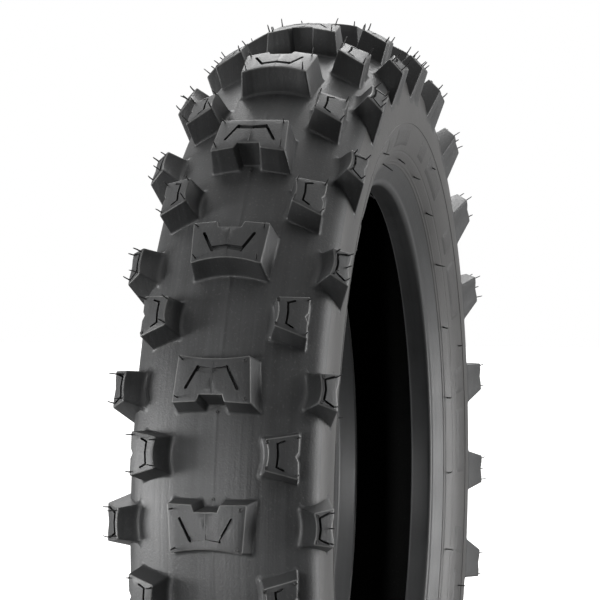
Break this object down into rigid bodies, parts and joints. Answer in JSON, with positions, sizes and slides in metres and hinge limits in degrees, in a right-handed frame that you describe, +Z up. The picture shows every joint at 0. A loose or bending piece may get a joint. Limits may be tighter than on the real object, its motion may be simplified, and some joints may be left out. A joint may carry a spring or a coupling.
{
  "type": "motocross tyre",
  "caption": "Knobby off-road motorcycle tyre for a small wheel, with notched centre knobs, grooved intermediate and shoulder knobs, and wire beads.",
  "frame": {"origin": "centre of the tyre, on the wheel axis and in the centre plane between the beads", "axes": "+Y along the wheel axis, towards the sidewall called right; +Z up; +X horizontal, square to the axis"},
  "size_m": [0.4666, 0.0958, 0.4666],
  "materials": {
    "tread_rubber": "matt",
    "sidewall_rubber": "matt",
    "chafer_rubber": "satin",
    "filler_rubber": "matt",
    "rubberised_cord": "matt",
    "liner_rubber": "satin",
    "bead_steel": "brass-coated drawn wire"
  },
  "bodies": {
    "root": {"tread_base": "tread_rubber", "centre_knobs_leading": "tread_rubber", "centre_knobs_trailing": "tread_rubber", "intermediate_knobs_left": "tread_rubber", "intermediate_knobs_right": "tread_rubber", "shoulder_knobs_left": "tread_rubber", "shoulder_knobs_right": "tread_rubber", "sidewall_left": "sidewall_rubber", "sidewall_right": "sidewall_rubber", "rim_line_ribs_left": "sidewall_rubber", "rim_line_ribs_right": "sidewall_rubber", "sidewall_panels_left": "sidewall_rubber", "sidewall_panels_right": "sidewall_rubber", "chafer_left": "chafer_rubber", "chafer_right": "chafer_rubber", "bead_filler_left": "filler_rubber", "bead_filler_right": "filler_rubber", "bead_wires_left": "bead_steel", "bead_wires_right": "bead_steel", "body_ply_outer": "rubberised_cord", "body_ply_inner": "rubberised_cord", "inner_liner": "liner_rubber"}
  },
  "joints": []
}
